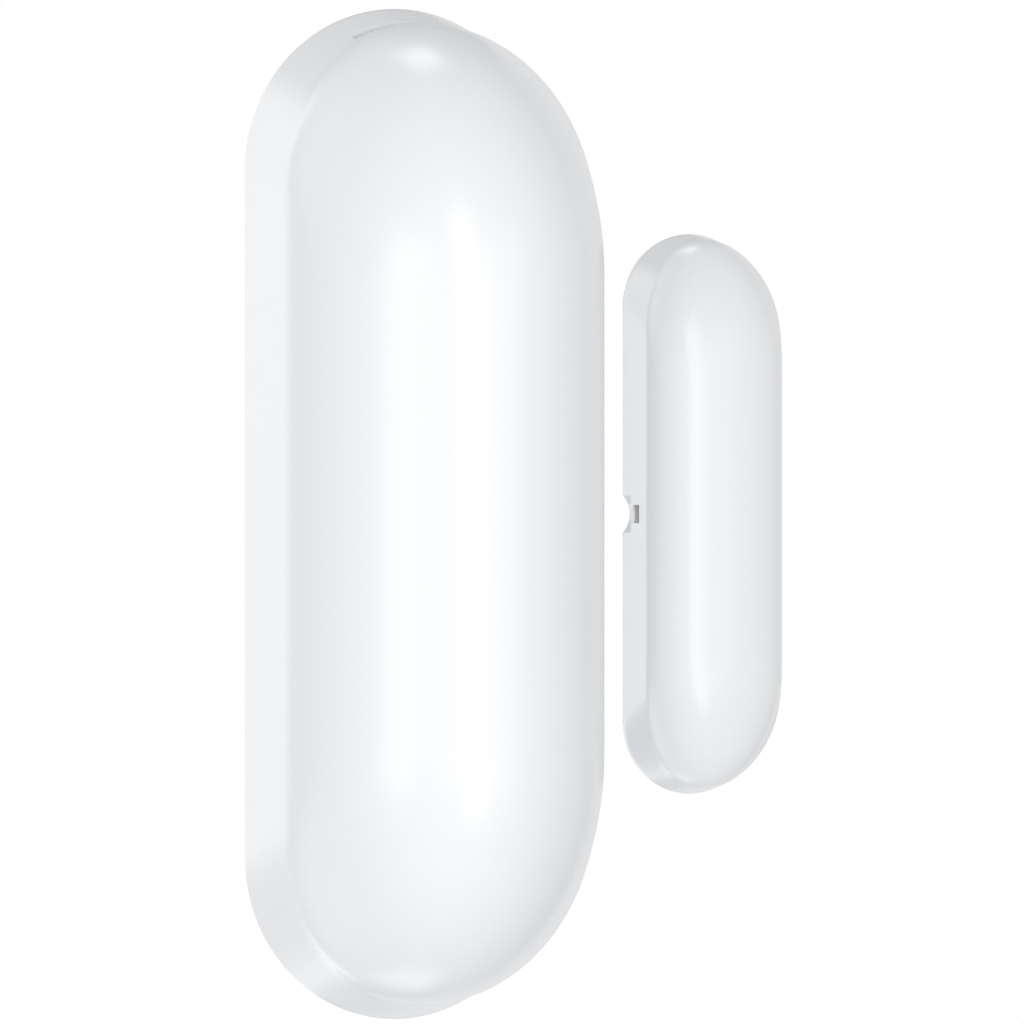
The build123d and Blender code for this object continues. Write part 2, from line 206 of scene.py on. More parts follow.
class Paint:
    """A material with its Principled shader, and short ways to add the nodes that drive it."""

    def __init__(self, name, colour, roughness, metallic=0.0, ior=1.5):
        self.material = bpy.data.materials.new(name)
        self.material.use_nodes = True
        self.tree = self.material.node_tree
        self.surface = self.tree.nodes["Principled BSDF"]
        self.set("Base Color", (*colour, 1.0))
        self.set("Roughness", roughness)
        self.set("Metallic", metallic)
        self.set("IOR", ior)
        object_place = self.tree.nodes.new("ShaderNodeTexCoord").outputs["Object"]
        scale = self.tree.nodes.new("ShaderNodeVectorMath")
        scale.operation = "SCALE"
        scale.inputs["Scale"].default_value = 1 / MM
        self.link(object_place, scale.inputs[0])
        self.millimetres = scale.outputs["Vector"]

    def set(self, socket, value):
        self.surface.inputs[socket].default_value = value

    def link(self, out, into):
        self.tree.links.new(out, into)

    def drive(self, socket, out):
        self.link(out, self.surface.inputs[socket])

    def noise(self, size, detail=3.0, vector=None):
        """Soft noise whose features are about size millimetres."""
        node = self.tree.nodes.new("ShaderNodeTexNoise")
        node.inputs["Scale"].default_value = 1 / size
        node.inputs["Detail"].default_value = detail
        self.link(vector or self.millimetres, node.inputs["Vector"])
        return node.outputs["Fac"]

    def cells(self, size, feature="F1", vector=None):
        """Round cells about size millimetres across: the distance from each one's middle."""
        node = self.tree.nodes.new("ShaderNodeTexVoronoi")
        node.feature = feature
        node.inputs["Scale"].default_value = 1 / size
        self.link(vector or self.millimetres, node.inputs["Vector"])
        return node.outputs["Distance"]

    def stretched(self, factors):
        """The place in millimetres, with each axis scaled, for brushed or drawn-out patterns."""
        node = self.tree.nodes.new("ShaderNodeVectorMath")
        node.operation = "MULTIPLY"
        node.inputs[1].default_value = factors
        self.link(self.millimetres, node.inputs[0])
        return node.outputs["Vector"]

    def math(self, operation, first, second=0.0, third=0.0):
        node = self.tree.nodes.new("ShaderNodeMath")
        node.operation = operation
        for socket, value in zip(node.inputs, (first, second, third)):
            if isinstance(value, (int, float)):
                socket.default_value = value
            else:
                self.link(value, socket)
        return node.outputs["Value"]

    def distance(self, first, second):
        """How far apart two values are."""
        return self.math("ABSOLUTE", self.math("SUBTRACT", first, second))

    def radius(self, first, second):
        """The length of the vector with these two components."""
        squares = self.math("ADD", self.math("POWER", first, 2.0), self.math("POWER", second, 2.0))
        return self.math("SQRT", squares)

    def axis(self, letter, vector=None):
        node = self.tree.nodes.new("ShaderNodeSeparateXYZ")
        self.link(vector or self.millimetres, node.inputs[0])
        return node.outputs[letter]

    def span(self, out, low, high, to_low=0.0, to_high=1.0):
        """Maps a value's stretch low..high to another."""
        node = self.tree.nodes.new("ShaderNodeMapRange")
        self.link(out, node.inputs["Value"])
        for socket, value in zip(list(node.inputs)[1:5], (low, high, to_low, to_high)):
            socket.default_value = value
        return node.outputs["Result"]

    def mix(self, share, first, second):
        """A colour between two, each a colour or another node's output."""
        node = self.tree.nodes.new("ShaderNodeMix")
        node.data_type = "RGBA"
        self.link(share, node.inputs["Factor"])
        for socket, value in zip((node.inputs[6], node.inputs[7]), (first, second)):
            if isinstance(value, tuple):
                socket.default_value = (*value, 1.0)
            else:
                self.link(value, socket)
        return node.outputs[2]

    def bump(self, height, depth, below=None):
        """Relief of about depth millimetres, over another relief where one is given."""
        node = self.tree.nodes.new("ShaderNodeBump")
        node.inputs["Distance"].default_value = depth * MM
        self.link(height, node.inputs["Height"])
        if below is not None:
            self.link(below, node.inputs["Normal"])
        self.drive("Normal", node.outputs["Normal"])
        return node.outputs["Normal"]

    def vary(self, colour, share, size, roughness, spread):
        """Slow changes in colour and roughness over the surface."""
        darker = tuple(c * (1 - share) for c in colour)
        slow = self.noise(size, 2.0)
        self.drive("Base Color", self.mix(slow, darker, colour))
        fine = self.noise(size / 5, 2.0)
        self.drive("Roughness", self.span(fine, 0.0, 1.0, roughness - 2 * spread, roughness + 2 * spread))


# ---------------------------------------------------------------- materials


def pale_floor():
    paint = Paint("pale_floor", (0.86, 0.87, 0.88), 0.8)
    paint.drive("Base Color", paint.mix(paint.noise(40.0), (0.84, 0.85, 0.86), (0.88, 0.89, 0.9)))
    return paint.material


def gloss_white_abs():
    """Polished white moulding: a faint waviness, and a colour and finish that vary slightly."""
    colour = (0.86, 0.872, 0.885)
    roughness = 0.25
    paint = Paint("gloss_white_abs", colour, roughness, ior=1.52)
    paint.vary(colour, 0.012, 9.0, roughness, 0.01)
    paint.bump(paint.noise(2.6, 1.0), 0.0012)
    return paint.material


def satin_white_abs():
    """The bases: white with a fine spark-eroded grain."""
    colour = (0.83, 0.84, 0.85)
    paint = Paint("satin_white_abs", colour, 0.45, ior=1.52)
    paint.vary(colour, 0.03, 6.0, 0.45, 0.05)
    paint.bump(paint.noise(0.16, 4.0), 0.012)
    return paint.material


def closed_cell_foam():
    colour = (0.74, 0.75, 0.76)
    paint = Paint("closed_cell_foam", colour, 0.85, ior=1.4)
    cells = paint.cells(0.16)
    # Painted shade: each cell's middle, the pit of the relief below, is painted darker, and it lightens
    # towards the raised cell walls.
    paint.drive("Base Color", paint.mix(paint.span(cells, 0.1, 0.7), (0.62, 0.63, 0.64), (0.8, 0.81, 0.82)))
    relief = paint.bump(cells, 0.05)
    paint.bump(paint.noise(0.9, 3.0), 0.03, relief)
    return paint.material


def solder_mask():
    """A green board: copper tracks under the mask on its faces, bare glass laminate on its edges."""
    paint = Paint("solder_mask", (0.02, 0.16, 0.07), 0.3, ior=1.5)
    pitch = 1.3
    cell = paint.tree.nodes.new("ShaderNodeVectorMath")
    cell.operation = "FLOOR"
    paint.link(paint.stretched((1 / pitch, 0.0, 1 / pitch)), cell.inputs[0])
    chance = paint.tree.nodes.new("ShaderNodeTexWhiteNoise")
    paint.link(cell.outputs["Vector"], chance.inputs["Vector"])
    within = paint.tree.nodes.new("ShaderNodeVectorMath")
    within.operation = "FRACTION"
    paint.link(paint.stretched((1 / pitch, 0.0, 1 / pitch)), within.inputs[0])
    across = paint.distance(paint.axis("X", within.outputs["Vector"]), 0.5)
    along = paint.distance(paint.axis("Z", within.outputs["Vector"]), 0.5)
    upright = paint.math("LESS_THAN", chance.outputs["Value"], 0.5)
    level = paint.math("SUBTRACT", 1.0, upright)
    offset = paint.math("ADD", paint.math("MULTIPLY", across, upright), paint.math("MULTIPLY", along, level))
    track = paint.math("LESS_THAN", offset, 0.11)
    from_middle = paint.radius(across, along)
    via = paint.math("LESS_THAN", paint.distance(from_middle, 0.19), 0.07)
    via = paint.math("MULTIPLY", via, paint.math("GREATER_THAN", chance.outputs["Value"], 0.86))
    copper = paint.math("MAXIMUM", track, via)
    mask = paint.mix(paint.noise(3.0), (0.012, 0.12, 0.05), (0.02, 0.17, 0.075))
    face = paint.mix(copper, mask, (0.045, 0.26, 0.11))
    face = paint.mix(via, face, (0.78, 0.56, 0.22))
    laminate = paint.mix(paint.noise(0.12), (0.42, 0.4, 0.2), (0.6, 0.56, 0.3))
    geometry = paint.tree.nodes.new("ShaderNodeNewGeometry")
    facing = paint.math("ABSOLUTE", paint.axis("Y", geometry.outputs["True Normal"]))
    paint.drive("Base Color", paint.mix(paint.math("GREATER_THAN", facing, 0.7), laminate, face))
    paint.drive("Roughness", paint.span(paint.noise(0.5), 0.3, 0.7, 0.24, 0.38))
    paint.bump(copper, 0.03)
    return paint.material


def steel(name, colour, roughness, brush, depth=0.004):
    """Drawn or turned steel: fine scratches along the axis that brush leaves long."""
    paint = Paint(name, colour, roughness, metallic=1.0, ior=2.5)
    scratches = paint.noise(0.08, 3.0, paint.stretched(brush))
    paint.vary(colour, 0.14, 1.6, roughness, 0.06)
    paint.bump(scratches, depth)
    return paint.material


def wound_roll():
    """The cell's wound electrodes: turns of dark and bright foil round its axis."""
    paint = Paint("wound_roll", (0.3, 0.3, 0.31), 0.5, metallic=0.6)
    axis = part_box("cell_core")
    middle = (axis[0].y + axis[1].y) / 2 / MM
    x = paint.axis("X")
    y = paint.math("SUBTRACT", paint.axis("Y"), middle)
    turns_per_mm = 3.2
    turns = paint.math("FRACT", paint.math("MULTIPLY", paint.radius(x, y), turns_per_mm))
    paint.drive("Base Color", paint.mix(turns, (0.07, 0.07, 0.08), (0.55, 0.55, 0.57)))
    paint.bump(turns, 0.05)
    return paint.material


def sleeve_film():
    """Shrunk blue film with a silver band near the positive end and faint shrink wrinkles."""
    colour = (0.02, 0.12, 0.42)
    paint = Paint("sleeve_film", colour, 0.28, ior=1.53)
    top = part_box("cell_sleeve")[1].z / MM
    band_height = 6.4
    line_below_top = 7.4
    line_half_width = 0.25
    up = paint.axis("Z")
    band = paint.math("GREATER_THAN", up, top - band_height)
    line = paint.math("LESS_THAN", paint.distance(up, top - line_below_top), line_half_width)
    blue = paint.mix(paint.noise(4.0), (0.015, 0.1, 0.36), (0.022, 0.13, 0.46))
    silver = paint.mix(paint.noise(0.5), (0.6, 0.61, 0.63), (0.72, 0.73, 0.75))
    paint.drive("Base Color", paint.mix(paint.math("MAXIMUM", band, line), blue, silver))
    paint.drive("Roughness", paint.span(paint.noise(0.8), 0.3, 0.7, 0.2, 0.34))
    wrinkles = paint.bump(paint.noise(1.2, 2.0, paint.stretched((1.0, 1.0, 0.12))), 0.02)
    paint.bump(paint.noise(0.2), 0.002, wrinkles)
    paint.set("Coat Weight", 0.4)
    paint.set("Coat Roughness", 0.12)
    return paint.material


def moulded(name, colour, roughness, grain, depth, share=0.12):
    """Plain engineering plastic with a moulded grain."""
    paint = Paint(name, colour, roughness, ior=1.5)
    paint.vary(colour, share, 2.0, roughness, 0.06)
    paint.bump(paint.noise(grain, 4.0), depth)
    return paint.material


def seal_glass():
    """Clear glass of a faint green, greener where it is melted round the leads."""
    paint = Paint("seal_glass", (0.9, 0.97, 0.93), 0.03, ior=1.5)
    half_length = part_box("reed_glass")[1].z / MM
    melted_length = 1.5
    end = paint.math("ABSOLUTE", paint.axis("Z"))
    melted = paint.span(end, half_length - melted_length, half_length)
    paint.drive("Base Color", paint.mix(melted, (0.93, 0.98, 0.95), (0.5, 0.78, 0.6)))
    paint.set("Transmission Weight", 1.0)
    paint.bump(paint.noise(1.5, 1.0), 0.01)
    return paint.material


def led_resin():
    paint = Paint("led_resin", (0.93, 0.88, 0.6), 0.2, ior=1.53)
    lo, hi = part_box("status_led")
    out = paint.span(paint.axis("Y"), lo.y / MM, (lo.y + hi.y) / 2 / MM)
    phosphor = paint.mix(paint.noise(0.15), (0.82, 0.68, 0.12), (0.93, 0.82, 0.3))
    paint.drive("Base Color", paint.mix(out, phosphor, (0.86, 0.86, 0.84)))
    paint.set("Subsurface Weight", 0.2)
    paint.set("Subsurface Radius", (0.0004, 0.0003, 0.0002))
    paint.bump(paint.noise(0.08), 0.004)
    return paint.material


def shield_tin():
    """Tinned sheet with soft stains and a rolled grain."""
    colour = (0.72, 0.73, 0.74)
    paint = Paint("shield_tin", colour, 0.3, metallic=1.0, ior=2.2)
    stains = paint.span(paint.noise(1.4, 4.0), 0.35, 0.65)
    paint.drive("Base Color", paint.mix(stains, (0.6, 0.6, 0.6), colour))
    paint.drive("Roughness", paint.span(paint.noise(0.7, 3.0), 0.3, 0.7, 0.22, 0.4))
    rolled = paint.bump(paint.noise(0.07, 3.0, paint.stretched((0.08, 1.0, 1.0))), 0.003)
    paint.bump(paint.noise(2.2, 1.0), 0.02, rolled)
    return paint.material


def antenna_ceramic():
    """White ceramic block with a folded silver track on its top."""
    paint = Paint("antenna_ceramic", (0.86, 0.86, 0.82), 0.4)
    lo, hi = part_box("chip_antenna")
    middle = (lo.x + hi.x) / 2 / MM
    folds_per_mm = 1.4
    rung_share = 0.32
    rung_half_length = 0.62
    fold = paint.math("FRACT", paint.math("MULTIPLY", paint.axis("Z"), folds_per_mm))
    rung = paint.math("LESS_THAN", fold, rung_share)
    inside = paint.math("LESS_THAN", paint.distance(paint.axis("X"), middle), rung_half_length)
    top = paint.math("LESS_THAN", paint.axis("Y"), lo.y / MM + 0.05)
    track = paint.math("MULTIPLY", paint.math("MULTIPLY", rung, inside), top)
    body = paint.mix(paint.noise(0.3), (0.8, 0.8, 0.76), (0.88, 0.88, 0.84))
    paint.drive("Base Color", paint.mix(track, body, (0.62, 0.62, 0.64)))
    paint.drive("Metallic", track)
    paint.bump(track, 0.02)
    return paint.material


def capacitor_clay():
    paint = Paint("capacitor_clay", (0.46, 0.3, 0.16), 0.5)
    paint.drive("Base Color", paint.mix(paint.noise(0.25), (0.38, 0.24, 0.12), (0.5, 0.34, 0.2)))
    paint.bump(paint.noise(0.06), 0.004)
    return paint.material


def module_mask():
    paint = Paint("module_mask", (0.012, 0.014, 0.03), 0.32)
    weave = paint.noise(0.3, 3.0)
    paint.drive("Base Color", paint.mix(weave, (0.01, 0.012, 0.026), (0.03, 0.034, 0.06)))
    paint.drive("Roughness", paint.span(weave, 0.3, 0.7, 0.26, 0.42))
    paint.bump(paint.cells(0.4), 0.006)
    return paint.material


def solder():
    """Bright tin solder with a slightly frosted skin."""
    colour = (0.78, 0.78, 0.79)
    paint = Paint("solder", colour, 0.26, metallic=1.0, ior=2.2)
    paint.vary(colour, 0.1, 0.6, 0.26, 0.08)
    paint.bump(paint.noise(0.12, 3.0), 0.006)
    return paint.material


# ---------------------------------------------------------------- mesh tools


def new_piece(name, shape, material, body, smooth=None):
    """Turns a bmesh into a piece that rides on a body. Edges over smooth degrees, if given, stay sharp."""
    bmesh.ops.recalc_face_normals(shape, faces=shape.faces)
    mesh = bpy.data.meshes.new(name)
    shape.to_mesh(mesh)
    shape.free()
    mesh.materials.append(material)
    if smooth is not None:
        mesh.polygons.foreach_set("use_smooth", [True] * len(mesh.polygons))
        mesh.set_sharp_from_angle(angle=radians(smooth))
    piece = bpy.data.objects.new(name, mesh)
    bpy.context.scene.collection.objects.link(piece)
    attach(piece, body)
    return piece


def bridge(shape, low, high):
    """Quads between two rings, or triangles where one is a single point."""
    count = max(len(low), len(high))
    for k in range(count):
        n = (k + 1) % count
        if len(low) == 1:
            shape.faces.new((low[0], high[n], high[k]))
        elif len(high) == 1:
            shape.faces.new((low[k], low[n], high[0]))
        else:
            shape.faces.new((low[k], low[n], high[n], high[k]))


def lathe(profile, centre, closed, steps=72):
    """A turned shape along Z through centre. The profile is (radius, z) in millimetres, centre in metres."""
    shape = bmesh.new()
    rings = []
    for radius, z in profile:
        if radius == 0:
            rings.append([shape.verts.new((centre.x, centre.y, z * MM))])
            continue
        ring_points = []
        for k in range(steps):
            a = 2 * pi * k / steps
            across = Vector((cos(a), sin(a), 0)) * radius * MM
            ring_points.append(shape.verts.new((centre.x + across.x, centre.y + across.y, z * MM)))
        rings.append(ring_points)
    for low, high in zip(rings, rings[1:]):
        bridge(shape, low, high)
    if closed:
        bridge(shape, rings[-1], rings[0])
    return shape


def arc(centre_radius, centre_z, radius, start, end, steps=8):
    """Profile points round a corner, from one angle to another; 0 points away from the axis and 90 up."""
    points = []
    for k in range(steps + 1):
        a = radians(start + (end - start) * k / steps)
        points.append((centre_radius + radius * cos(a), centre_z + radius * sin(a)))
    return points


def add_box(shape, low, high, bevel=0.0):
    """A box between two corners, in metres, with softened edges."""
    size = [h - l for l, h in zip(low, high)]
    middle = [(l + h) / 2 for l, h in zip(low, high)]
    made = bmesh.ops.create_cube(shape, size=1.0)["verts"]
    for vertex in made:
        vertex.co = Vector([c * s + m for c, s, m in zip(vertex.co, size, middle)])
    if bevel > 0:
        edges = list({e for v in made for e in v.link_edges})
        bmesh.ops.bevel(shape, geom=edges, offset=bevel * MM, segments=2, profile=0.6, affect="EDGES")


def add_fillet_cone(shape, centre, foot, top, height, steps=20):
    """A hollow-sided solder fillet round a pin, wide at the board. It stands out along -Y."""
    rings = []
    levels = 6
    for k in range(levels + 1):
        t = k / levels
        radius = (top + (foot - top) * (1 - t) ** 2) * MM
        ring_points = []
        for s in range(steps):
            a = 2 * pi * s / steps
            place_at = Vector((radius * cos(a), -t * height * MM, radius * sin(a)))
            ring_points.append(shape.verts.new(centre + place_at))
        rings.append(ring_points)
    for low, high in zip(rings, rings[1:]):
        bridge(shape, low, high)
    shape.faces.new(rings[0])
    shape.faces.new(rings[-1])


def islands(node):
    """The corner pairs of each separate solid in a CAD node."""
    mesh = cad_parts[node].data
    shape = bmesh.new()
    shape.from_mesh(mesh)
    bmesh.ops.remove_doubles(shape, verts=shape.verts, dist=WELD_GAP * MM)
    left = set(shape.verts)
    found = []
    while left:
        start = min(left, key=lambda v: v.index)
        group, queue = {start}, [start]
        while queue:
            for edge in queue.pop().link_edges:
                for vertex in edge.verts:
                    if vertex not in group:
                        group.add(vertex)
                        queue.append(vertex)
        left -= group
        low = Vector([min(v.co[i] for v in group) for i in range(3)])
        high = Vector([max(v.co[i] for v in group) for i in range(3)])
        found.append((low, high))
    shape.free()
    return sorted(found, key=lambda pair: (pair[0].z, pair[0].x))


# ---------------------------------------------------------------- cover shells


def level_outline(shape, inset, angle):
    """Half-width, straight half-length, half-length, and depths at side and tip, at one dome angle."""
    fall, rise = cos(radians(angle)), sin(radians(angle))
    crest = shape["crest_straight"]
    straight = crest + (shape["crease_straight"] - crest) * fall ** shape["straight_fade"]
    length = crest + (shape["crease_length"] - inset - crest) * fall
    top = shape["depth"] - inset
    side = shape["side_height"] + (top - shape["side_height"]) * rise
    tip = shape["tip_height"] + (top - shape["tip_height"]) * rise
    return (shape["half_width"] - inset) * fall, straight, length, side, tip


def skirt_outline(shape, inset, share):
    """The same five values between the rim, at share 0, and the crease, at share 1."""
    rim = (shape["half_width"] - inset, shape["rim_straight"], shape["rim_length"] - inset, 0.0, 0.0)
    crease = level_outline(shape, inset, 0)
    return [a + (b - a) * share for a, b in zip(rim, crease)]


def ring(values, cap_steps, side_steps):
    """The points round one outline, (across, up, depth), starting at the right end of the top cap."""
    half_width, straight, half_length, side, tip = values
    points = []
    for sign in (1, -1):
        for k in range(cap_steps + 1):
            a = pi * k / cap_steps
            x = sign * half_width * cos(a)
            z = sign * (straight + (half_length - straight) * sin(a))
            points.append((x, z, side + (tip - side) * sin(a) ** 2))
        for k in range(1, side_steps):
            z = sign * straight * (1 - 2 * k / side_steps)
            points.append((-sign * half_width, z, side))
    return points


def skin(shape, inset, dome_steps=56, skirt_steps=6, cap_steps=64, side_steps=28):
    """Rings of points from the rim to the crest."""
    outlines = [skirt_outline(shape, inset, k / skirt_steps) for k in range(skirt_steps)]
    for k in range(dome_steps + 1):
        outlines.append(level_outline(shape, inset, min(90.0 * k / dome_steps, CREST_ANGLE)))
    return [ring(outline, cap_steps, side_steps) for outline in outlines]


def place(point, across):
    """From (across, up, depth) in millimetres, in a unit's own wall frame, to the row frame."""
    x, z, depth = point
    return Vector((x + across, -PAD - depth, z)) * MM


def wall_box(shape, across, x, z, depth):
    """A box between limits given in a unit's own wall frame."""
    first = place((x[0], z[0], depth[1]), across)
    last = place((x[1], z[1], depth[0]), across)
    add_box(shape, first, last)


def shell_body(shape, across):
    """The outer skin, the inner one a wall's thickness inside it, and the rim between them."""
    body = bmesh.new()

    def add_rings(rings, flip):
        made = [[body.verts.new(place(p, across)) for p in points] for points in rings]
        for low, high in zip(made, made[1:]):
            bridge(body, high if flip else low, low if flip else high)
        body.faces.new(made[-1])
        return made[0]

    outer_rim = add_rings(skin(shape, 0.0), False)
    inner_rim = add_rings(skin(shape, shape["wall"]), True)
    bridge(body, inner_rim, outer_rim)
    return body


def carve(piece, cutter, operation):
    """Adds or cuts a closed shape, and leaves the result in the piece's own mesh."""
    mesh = bpy.data.meshes.new("cutter")
    bmesh.ops.recalc_face_normals(cutter, faces=cutter.faces)
    cutter.to_mesh(mesh)
    cutter.free()
    tool = bpy.data.objects.new("cutter", mesh)
    bpy.context.scene.collection.objects.link(tool)
    modifier = piece.modifiers.new("carve", "BOOLEAN")
    modifier.operation = operation
    modifier.object = tool
    modifier.solver = "EXACT"
    result = bpy.data.meshes.new_from_object(piece.evaluated_get(bpy.context.evaluated_depsgraph_get()))
    piece.modifiers.clear()
    old = piece.data
    piece.data = result
    bpy.data.meshes.remove(old)
    bpy.data.objects.remove(tool)
    bpy.data.meshes.remove(mesh)


def stop_ribs(shape, ribs, across):
    """Four ribs inside the side walls."""
    cutter = bmesh.new()
    wall_face = shape["half_width"] - shape["wall"]
    for side in (-1, 1):
        limits = sorted((side * (wall_face - RIB_REACH), side * (wall_face + RIB_REACH)))
        for z in (-ribs["z"], ribs["z"]):
            wall_box(cutter, across, limits, (z - RIB_HALF_WIDTH, z + RIB_HALF_WIDTH), ribs["depths"])
    return cutter


def release_slot():
    cutter = bmesh.new()
    reach = (SLOT_INNER_Z, SENSOR_SHAPE["rim_length"] + CUT_OVERRUN)
    wall_box(cutter, 0.0, (-SLOT_HALF_WIDTH, SLOT_HALF_WIDTH), reach, SLOT_DEPTHS)
    return cutter


def pry_slot():
    cutter = bmesh.new()
    face = -MAGNET_SHAPE["half_width"]
    limits = (face - CUT_OVERRUN, face + MAGNET_SHAPE["wall"] + CUT_OVERLAP)
    wall_box(cutter, MAGNET_X, limits, (-NOTCH_HALF_HEIGHT, NOTCH_HALF_HEIGHT), NOTCH_DEPTHS)
    return cutter


def pry_scoop(steps=48):
    """The round hollow in the rim in front of the slot."""
    cutter = bmesh.new()
    middle = -MAGNET_SHAPE["half_width"] - SCOOP_RADIUS + SCOOP_BITE
    rings = []
    for depth in (-CUT_OVERRUN, SCOOP_TOP):
        points = []
        for k in range(steps):
            a = 2 * pi * k / steps
            point = (middle + SCOOP_RADIUS * cos(a), SCOOP_RADIUS * sin(a), depth)
            points.append(cutter.verts.new(place(point, MAGNET_X)))
        rings.append(points)
    bridge(cutter, *rings)
    cutter.faces.new(rings[0])
    cutter.faces.new(rings[1])
    return cutter


def finish_shell(piece):
    """Smooth faces, sharp cut edges, and a small radius where faces meet steeply."""
    mesh = piece.data
    mesh.polygons.foreach_set("use_smooth", [True] * len(mesh.polygons))
    mesh.set_sharp_from_angle(angle=radians(SHARP_ANGLE))
    edges = piece.modifiers.new("soft_edges", "BEVEL")
    edges.width = SHELL_EDGE * MM
    edges.segments = 3
    edges.limit_method = "ANGLE"
    edges.angle_limit = radians(SHARP_ANGLE)
    edges.use_clamp_overlap = True
    normals = piece.modifiers.new("normals", "WEIGHTED_NORMAL")
    normals.keep_sharp = False


def make_covers():
    material = gloss_white_abs()
    covers = (
        ("sensor_cover", SENSOR_SHAPE, SENSOR_RIBS, 0.0, (release_slot,)),
        ("magnet_cover", MAGNET_SHAPE, MAGNET_RIBS, MAGNET_X, (pry_scoop, pry_slot)),
    )
    for node, shape, ribs, across, cutters in covers:
        piece = new_piece(node + "_shell", shell_body(shape, across), material, node)
        carve(piece, stop_ribs(shape, ribs, across), "UNION")
        for cutter in cutters:
            carve(piece, cutter(), "DIFFERENCE")
        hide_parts(node)
        finish_shell(piece)


# ---------------------------------------------------------------- adhesive pads


def make_pad(node, body, material):
    """A foam pad: a pill whose sides pull in between its two flat faces."""
    lo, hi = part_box(node)
    half_width = (hi.x - lo.x) / 2 / MM
    half_length = hi.z / MM
    across = (hi.x + lo.x) / 2 / MM
    thickness = (hi.y - lo.y) / MM
    levels = 12
    edge = 0.1
    edge_share = 1 / 6
    waist = 0.16
    shape = bmesh.new()
    rings = []
    for k in range(levels + 1):
        t = k / levels
        from_face = min(t, 1 - t)
        corner = edge * max(0.0, 1 - from_face / edge_share) ** 2
        inset = waist * sin(pi * t) ** 0.7 + corner
        outline = (half_width - inset, half_length - half_width, half_length - inset, 0.0, 0.0)
        points = ring(outline, 48, 48)
        rings.append([shape.verts.new(Vector((x + across, -t * thickness, z)) * MM) for x, z, _ in points])
    for low, high in zip(rings, rings[1:]):
        bridge(shape, low, high)
    shape.faces.new(rings[0])
    shape.faces.new(rings[-1])
    pad = new_piece(node + "_foam", shape, material, body, smooth=50)
    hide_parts(node)


# ---------------------------------------------------------------- the cell


def make_can(centre, radius, back, front, corner, lip):
    wall = 0.3
    mouth = 0.75
    crimp = 0.02
    can = [(0, back)]
    can += arc(radius - corner, back + corner, corner, -90, 0)
    can += arc(radius - lip, front, lip, 0, 90)
    can += arc(radius - mouth, front, lip, 90, 180)
    can += [(radius - wall, front - crimp), (radius - wall, back + wall), (0, back + wall)]
    paint = steel("cell_steel_paint", (0.66, 0.66, 0.67), 0.3, (1.0, 1.0, 12.0))
    shape = lathe(can, centre, False)
    piece = new_piece("cell_can_turned", shape, paint, "sensor_unit", smooth=35)
    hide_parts("cell_can")


def make_sleeve(centre, radius, back, front, corner, lip):
    """Shrunk film outside the can, curled over both of its ends."""
    lo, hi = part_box("cell_sleeve")
    outer = (hi.x - lo.x) / 2 / MM
    film = outer - radius
    inner = film * 0.8
    gap = 0.01
    low, high = back - film, front + lip + film
    turn = corner + film
    top_turn = turn * 0.6
    curl = radius - 1.1
    sleeve = [(curl, low)]
    sleeve += arc(outer - turn, low + turn, turn, -90, 0)
    sleeve += arc(outer - top_turn, high - top_turn, top_turn, 0, 90)
    sleeve += [(curl, high), (curl, high - inner)]
    sleeve += [(radius - 0.3, high - inner), (radius + gap, high - 0.5), (radius + gap, low + turn)]
    sleeve += [(radius - 0.35, low + inner), (curl, low + inner)]
    shape = lathe(sleeve, centre, True)
    piece = new_piece("cell_sleeve_film", shape, sleeve_film(), "sensor_unit", smooth=35)
    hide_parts("cell_sleeve")


def make_cap(centre, front):
    """The lid with its round groove, and the positive end standing out of it."""
    lo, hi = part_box("cell_cap")
    rim = (hi.x - lo.x) / 2 / MM
    top = hi.z / MM
    lid = front - 0.5
    face = front - 0.05
    groove = front - 0.25
    nub, soft = 2.9, 0.35
    foot, foot_turn = nub + 0.35, 0.25
    dimple, dimple_floor = 0.9, top - 0.06
    cap = [(0, lid), (rim, lid), (rim, face), (rim - 0.9, face), (rim - 1.1, groove)]
    cap += [(rim - 1.6, groove), (rim - 1.8, face), (foot, face)]
    cap += arc(foot, face + foot_turn, foot_turn, -90, -180, 5)
    cap += arc(nub - soft, top - soft, soft, 0, 90)
    cap += [(dimple, top), (dimple - 0.2, dimple_floor), (0, dimple_floor)]
    paint = steel("cap_steel_paint", (0.7, 0.7, 0.71), 0.26, (12.0, 12.0, 1.0))
    shape = lathe(cap, centre, False)
    piece = new_piece("cell_cap_turned", shape, paint, "sensor_unit", smooth=35)
    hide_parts("cell_cap")


def make_cell():
    """The cell's can, sleeve and cap as turned pieces, with rolled and shrunk edges."""
    lo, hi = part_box("cell_can")
    centre = (lo + hi) / 2
    radius = (hi.x - lo.x) / 2 / MM
    back, front = lo.z / MM, hi.z / MM
    corner = 0.5
    lip = 0.12
    make_can(centre, radius, back, front, corner, lip)
    make_sleeve(centre, radius, back, front, corner, lip)
    make_cap(centre, front)


def make_reed_tube():
    """The reed switch's glass: rounded ends melted onto the leads, and a round-ended bore."""
    lo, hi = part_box("reed_glass")
    centre = (lo + hi) / 2
    radius = (hi.x - lo.x) / 2 / MM
    half = hi.z / MM
    lead = 0.225
    bore = 0.6
    bore_turn = 0.3
    bore_end = half - 1.2
    mouth = 0.05
    soft = radius - lead - 0.1
    profile = arc(radius - soft, soft - half, soft, -90, 0, 10)
    profile += arc(radius - soft, half - soft, soft, 0, 90, 10)
    profile += [(lead, half - mouth), (lead, bore_end)]
    profile += arc(bore - bore_turn, bore_end - bore_turn, bore_turn, 90, 0, 6)
    profile += arc(bore - bore_turn, bore_turn - bore_end, bore_turn, 0, -90, 6)
    profile += [(lead, -bore_end), (lead, mouth - half)]
    shape = lathe(profile, centre, True, 48)
    piece = new_piece("reed_glass_tube", shape, seal_glass(), "sensor_unit", smooth=50)
    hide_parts("reed_glass")


# ---------------------------------------------------------------- board details


